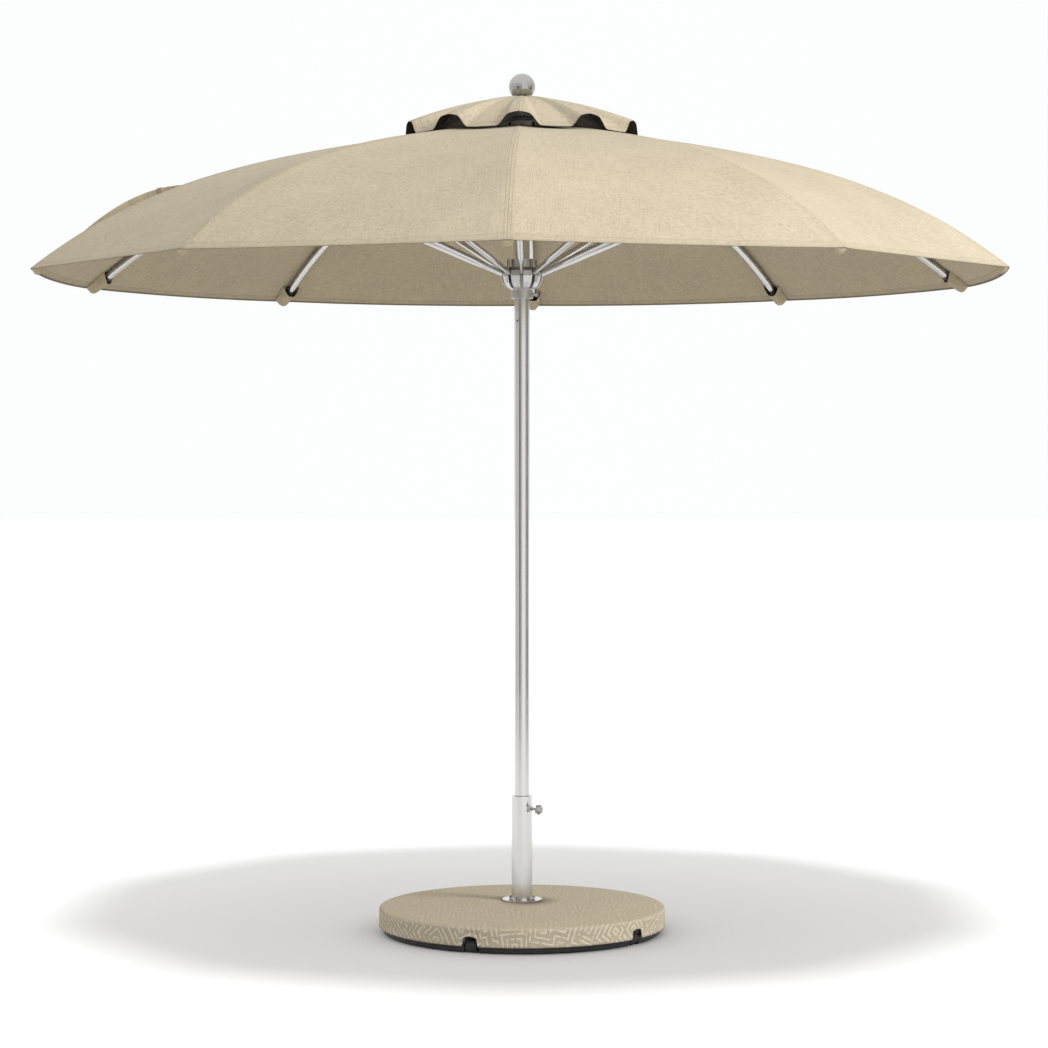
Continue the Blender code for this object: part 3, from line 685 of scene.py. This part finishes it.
def build_pocket(i, azimuth):
    """The cloth pocket sewn under the canopy's corner, which holds the rib's end."""
    count, sides = 10, 15
    start, end, reach = 1.334, CANOPY_R - 0.002, CANOPY_R - VENT_HOLE_R
    rings_top = []
    for a in range(count):
        at = a / (count - 1)
        r = start + (end - start) * at
        half = 0.030 - 0.008 * at
        row = []
        for b in range(sides):
            side = -1 + 2 * b / (sides - 1)
            y = side * half
            p = cloth_point((r - VENT_HOLE_R) / reach, y / (r * cos(RIB_STEP / 2) * sin(RIB_STEP / 2)))
            mouth = 0.005 * (1 - at) ** 4
            belly = (1 - abs(side) ** 2.2) * (0.0325 * (1 - at**8) + mouth)
            row.append(p - Vector((0.10 * belly, 0, 0.0017 + belly)))
        rings_top.append(row)
    thick = 0.0012
    verts = [p for row in rings_top for p in row]
    verts += [p - Vector((0, 0, thick)) for row in rings_top for p in row]
    half_count = count * sides
    faces = []
    for a in range(count - 1):
        for b in range(sides - 1):
            p, q = a * sides + b, (a + 1) * sides + b
            faces.append((p, q, q + 1, p + 1))
            faces.append((half_count + p, half_count + p + 1, half_count + q + 1, half_count + q))
    ring = list(range(sides)) + [a * sides + sides - 1 for a in range(1, count)]
    ring += [(count - 1) * sides + b for b in range(sides - 2, -1, -1)]
    ring += [a * sides for a in range(count - 2, 0, -1)]
    for a, b in zip(ring, ring[1:] + ring[:1]):
        faces.append((a, b, half_count + b, half_count + a))
    # The pocket takes the inside cloth, the darker copy with painted shade.
    obj = new_object(numbered("rib_pocket", i), verts, faces, canvas_under_painted_shade)
    face_out(obj)
    for name in ("cloth", "edge"):
        layer = obj.data.uv_layers.new(name=name)
        for loop in obj.data.loops:
            p = obj.data.vertices[loop.vertex_index].co
            layer.data[loop.index].uv = (p.y, p.x) if name == "cloth" else (0.5, 0.5)
    turn_to(obj, azimuth)
    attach(obj, numbered("rib", i))
    return obj


# ---- closure strap ----
def strap_ring(t, grow=0.0):
    """The strap's section at t, from inner end 0 to outer end 1, twisted up on edge between them."""
    side, half_width, thick, bow, clear = -0.55, 0.015 + grow, 0.0011 + grow, 0.030, 0.004
    middle = cloth_point(0.61 + 0.35 * t, side)
    along = (cloth_point(0.61 + 0.35 * t + 0.01, side) - middle).normalized()
    arc = sin(pi * t)
    roll = radians(68) * arc**0.45
    across = Matrix.Rotation(roll, 3, along) @ Vector((0, 1, 0))
    up = along.cross(across) * -1
    centre = middle + Vector((0, 0, clear + bow * arc + half_width * sin(roll)))
    ring = []
    for a, b in ((-1, -0.6), (-1, 0.6), (-0.85, 1), (0.85, 1), (1, 0.6), (1, -0.6), (0.85, -1), (-0.85, -1)):
        ring.append(centre + across * (a * half_width) + up * (b * thick))
    return ring


def build_strap():
    """The closure strap, sewn down at both ends, with a keeper loop round it."""
    count = 48
    rings = [strap_ring(i / (count - 1)) for i in range(count)]
    lengths = [0.0]
    for a, b in zip(rings, rings[1:]):
        lengths.append(lengths[-1] + ((b[0] + b[4]) / 2 - (a[0] + a[4]) / 2).length)
    obj = new_object("strap", *loops_to_tube(rings), canvas_top)
    face_out(obj)
    obj.data.set_sharp_from_angle(angle=radians(50))
    keeper = loops_to_tube([strap_ring(0.27 + 0.01 * k, 0.0012) for k in range(5)])
    # The keeper loop takes the inside cloth, the darker copy with painted shade.
    loop = new_object("loop", *keeper, canvas_under_painted_shade)
    face_out(loop)
    for part in (obj, loop):
        for name in ("cloth", "edge"):
            layer = part.data.uv_layers.new(name=name)
            for corner in part.data.loops:
                row, spot = divmod(corner.vertex_index, 8)
                at = (0.030 * (spot in (2, 3, 4, 5)), lengths[min(row, count - 1)])
                layer.data[corner.index].uv = at if name == "cloth" else (0.5, 0.5)
    return merge("closure_strap", [obj, loop]), lengths[-1]


# ---- base ----
def build_cover():
    """The fitted cover: a round top with a rounded shoulder and a skirt, notched at each wheel."""
    around = 360
    wheels = [radians(-20.5) + k * 2 * pi / 5 for k in range(5)]
    notch_half, notch_top = 0.0200, 0.0475

    def rim_at(azimuth):
        """Height of the skirt's lower edge at an azimuth."""
        for w in wheels:
            off = abs((azimuth - w + pi) % (2 * pi) - pi) * COVER_R
            if off < notch_half:
                return notch_top - 0.006 * (off / notch_half) ** 4
            if off < notch_half + 0.003:
                return COVER_HEM + (notch_top - 0.006 - COVER_HEM) * (1 - (off - notch_half) / 0.003)
        return COVER_HEM

    edge = 0.0085
    rings = []
    azimuths = [2 * pi * k / around for k in range(around)]
    extra = []
    for w in wheels:
        for d in (-0.0232, -0.0216, -0.0200, -0.0190, 0.0190, 0.0200, 0.0216, 0.0232):
            extra.append((w + d / COVER_R) % (2 * pi))
    azimuths = sorted(azimuths + extra)
    for azimuth in azimuths:
        wobble = 0.0008 * sin(azimuth * 9 + 1.3) + 0.0006 * sin(azimuth * 23)
        profile = []
        for r in (COVER_EYE_R, 0.12, 0.20, 0.28, 0.34, 0.38):
            ripple = 0.0008 * sin(r * 40 + azimuth * 3) * (r > COVER_EYE_R)
            profile.append((r, BASE_TOP + DOME * (1 - (r / COVER_R) ** 2) + ripple))
        for k in range(5):
            a = pi / 2 * (1 - k / 4)
            profile.append((COVER_R - edge + edge * cos(a), BASE_TOP - edge + edge * sin(a)))
        hem = rim_at(azimuth)
        top = BASE_TOP - edge
        for k in range(1, 9):
            share = k / 8
            z = top + (hem - top) * share
            profile.append((COVER_R + (wobble - 0.0012) * sin(pi * share) + 0.0004 * share, z))
        rings.append([Vector((r * sin(azimuth), -r * cos(azimuth), z)) for r, z in profile])
    count = len(rings[0])
    outer = [p for ring in rings for p in ring]
    inner = []
    for ring in rings:
        for k, p in enumerate(ring):
            radial = Vector((p.x, p.y, 0)).normalized()
            if k < 6:
                inset = Vector((0, 0, -0.0016))
            else:
                inset = -radial * 0.0016 + Vector((0, 0, -0.0008 if k < 11 else 0))
            inner.append(p + inset)
    half = len(outer)
    faces = []
    for i in range(len(rings)):
        j = (i + 1) % len(rings)
        for k in range(count - 1):
            a, b, c, d = i * count + k, j * count + k, j * count + k + 1, i * count + k + 1
            faces.append((a, d, c, b))
            faces.append((half + a, half + b, half + c, half + d))
        faces.append((i * count, j * count, half + j * count, half + i * count))
        k = count - 1
        faces.append((i * count + k, half + i * count + k, half + j * count + k, j * count + k))
    obj = new_object("cover_cloth", outer + inner, faces, cover_cloth)
    face_out(obj)
    layer = obj.data.uv_layers.new(name="cloth")
    for loop in obj.data.loops:
        p = obj.data.vertices[loop.vertex_index].co
        r = hypot(p.x, p.y)
        if r < COVER_R - 0.004:
            layer.data[loop.index].uv = (p.x, p.y)
        else:
            down = BASE_TOP - p.z
            layer.data[loop.index].uv = (p.x * (1 + down / r), p.y * (1 + down / r))
    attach(obj, "base")
    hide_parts("base_cover")
    return obj


def paint(node, finish):
    """Gives a carried-over CAD node its procedural finish."""
    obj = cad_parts[node]
    obj.data.materials.clear()
    obj.data.materials.append(finish)


def paint_hardware():
    for i in range(5):
        paint(numbered("wheel", i), rubber)
        paint(numbered("wheel_axle", i), steel)
    for k in range(4):
        paint(f"flange_bolt_{k + 1}", steel)
    for node in ("crown_hinge_wire", "finial", "lock_plunger", "clamp_bolt", "clamp_knob"):
        paint(node, steel)
    for node in ("upper_pole", "lower_pole", "pole_coupler", "base_stem"):
        paint(node, pole_metal)
    paint("crown_hub", hub_metal)
    paint("runner_hub", hub_metal)
    paint("base_tray", black_plastic)
    paint("base_weight", casting)


# ---- studio ----
def area_light(name, at, toward, size, power, colour=(1, 1, 1)):
    data = bpy.data.lights.new(name, "AREA")
    data.shape, data.size, data.energy, data.color = "DISK", size, power, colour
    obj = bpy.data.objects.new(name, data)
    bpy.context.scene.collection.objects.link(obj)
    obj.location = at
    obj.rotation_euler = (Vector(toward) - Vector(at)).to_track_quat("-Z", "Y").to_euler()
    return obj


# Brightness of the surround by azimuth: 0 is behind the camera, +90 to the right, 180 the white cove.
SURROUND = (
    (-180, 0.985), (-60, 0.96), (-15, 0.90), (8, 1.0), (22, 1.50), (38, 1.02), (60, 0.96), (180, 0.985),
)
# Grey panels that only metals see, as (first azimuth, last azimuth, brightness).
FLAGS = ((-115, -47, 0.55), (-47, -26, 0.13), (-26, 3, 0.47), (50, 73, 0.70), (73, 103, 0.22))
FLAG_R, FLAG_TOP = 5.5, 3.6
CEILING, CEILING_FROM, CEILING_FULL = 1.15, 0.22, 0.85


def build_studio():
    scene = bpy.context.scene
    floor = new_object(
        "floor", [(-40, -40, 0), (40, -40, 0), (40, 60, 0), (-40, 60, 0)], [(0, 1, 2, 3)], studio_white()
    )
    scene.world = studio_surround()
    key = area_light("key", (5.3, -3.5, 5.0), (0, 0, 1.8), 2.6, 430, (1.0, 0.985, 0.96))
    key.visible_glossy = False
    keep_off(key, floor)
    sun = bpy.data.lights.new("overhead", "SUN")
    sun.energy, sun.angle = 1.30, radians(9)
    overhead = bpy.data.objects.new("overhead", sun)
    overhead.rotation_euler = (radians(14), 0, 0)
    bpy.context.scene.collection.objects.link(overhead)
    light_only(overhead, floor)
    for k, (first, last, level) in enumerate(FLAGS):
        flag(f"flag_{k + 1}", radians(first), radians(last), level)
    camera_data = bpy.data.cameras.new("camera")
    camera_data.sensor_width = SENSOR
    camera_data.lens = LENS
    camera = bpy.data.objects.new("camera", camera_data)
    scene.collection.objects.link(camera)
    camera.location = CAMERA_AT
    camera.rotation_euler = (radians(CAMERA_PITCH), 0, radians(CAMERA_YAW))
    scene.camera = camera
    scene.view_settings.view_transform = "Standard"


def studio_surround():
    """A white cove behind the object, strip lights and dark flags around the camera, and a soft ceiling."""
    world = bpy.data.worlds.new("studio")
    world.use_nodes = True
    tree = world.node_tree
    background = tree.nodes["Background"]
    split = tree.nodes.new("ShaderNodeSeparateXYZ")
    tree.links.new(tree.nodes.new("ShaderNodeTexCoord").outputs["Generated"], split.inputs[0])
    turned = tree.nodes.new("ShaderNodeMath")
    turned.operation = "MULTIPLY"
    turned.inputs[1].default_value = -1.0
    tree.links.new(split.outputs["Y"], turned.inputs[0])
    azimuth = tree.nodes.new("ShaderNodeMath")
    azimuth.operation = "ARCTAN2"
    tree.links.new(split.outputs["X"], azimuth.inputs[0])
    tree.links.new(turned.outputs[0], azimuth.inputs[1])
    share = tree.nodes.new("ShaderNodeMapRange")
    share.inputs["From Min"].default_value, share.inputs["From Max"].default_value = -pi, pi
    tree.links.new(azimuth.outputs[0], share.inputs["Value"])
    walls = tree.nodes.new("ShaderNodeValToRGB")
    band = walls.color_ramp
    while len(band.elements) < len(SURROUND):
        band.elements.new(0.5)
    for element, (degrees, level) in zip(band.elements, SURROUND):
        element.position = 0.5 + degrees / 360
        element.color = (level * 0.995, level, level * 1.005, 1)
    tree.links.new(share.outputs["Result"], walls.inputs["Fac"])
    rise = tree.nodes.new("ShaderNodeMapRange")
    rise.interpolation_type = "SMOOTHSTEP"
    rise.inputs["From Min"].default_value, rise.inputs["From Max"].default_value = CEILING_FROM, CEILING_FULL
    tree.links.new(split.outputs["Z"], rise.inputs["Value"])
    both = tree.nodes.new("ShaderNodeMix")
    both.data_type = "RGBA"
    both.clamp_result = False
    tree.links.new(rise.outputs["Result"], both.inputs[0])
    tree.links.new(walls.outputs["Color"], both.inputs[6])
    both.inputs[7].default_value = (CEILING, CEILING, CEILING, 1)
    tree.links.new(both.outputs[2], background.inputs["Color"])
    background.inputs["Strength"].default_value = 1.0
    return world


def keep_off(light, floor):
    """Keeps a light off the floor, whose only shadow is then the soft one under the object."""
    lit = bpy.data.collections.new("not_lit")
    lit.objects.link(floor)
    light.light_linking.receiver_collection = lit
    lit.collection_objects[0].light_linking.link_state = "EXCLUDE"


def light_only(light, floor):
    lit = bpy.data.collections.new("lit")
    lit.objects.link(floor)
    light.light_linking.receiver_collection = lit


def flag(name, first, last, level):
    """An upright curved panel around the stage that only metals see, so that round tubes show their shape."""
    steps = 6
    turns = [first + (last - first) * k / steps for k in range(steps + 1)]
    verts = [(FLAG_R * sin(a), -FLAG_R * cos(a), z) for a in turns for z in (0.01, FLAG_TOP)]
    faces = [(2 * k, 2 * k + 2, 2 * k + 3, 2 * k + 1) for k in range(steps)]
    panel = new_object(name, verts, faces, cast(name, (level, level, level)))
    for ray in ("camera", "diffuse", "shadow", "transmission"):
        setattr(panel, f"visible_{ray}", False)


def studio_white():
    shader = Shader("studio_floor", roughness=0.95, specular=0.0)
    patch = shader.noise(0.6, shader.coords(), 1.0)
    shader.colour(shader.ramp(patch, (0.0, (0.805, 0.808, 0.815)), (1.0, (0.815, 0.818, 0.825))))
    return shader.material


def main():
    paint_hardware()
    gores = build_canopy()
    vent = build_vent()
    azimuths = rib_azimuths()
    for i, azimuth in enumerate(azimuths):
        build_rib(i, azimuth)
        build_strut(i, azimuth)
        build_rib_end(i, azimuth)
    pockets = [build_pocket(i, azimuth) for i, azimuth in enumerate(azimuths)]
    strap, strap_length = build_strap()
    turn_to(strap, azimuths[STRAP_RIB])
    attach(strap, numbered("rib", STRAP_RIB))
    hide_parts("tie_strap")
    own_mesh(strap)
    for i, (gore, sideways) in enumerate(gores):
        numbered("rib_hinge", i)
        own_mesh(gore)
    cover = build_cover()
    build_studio()


main()
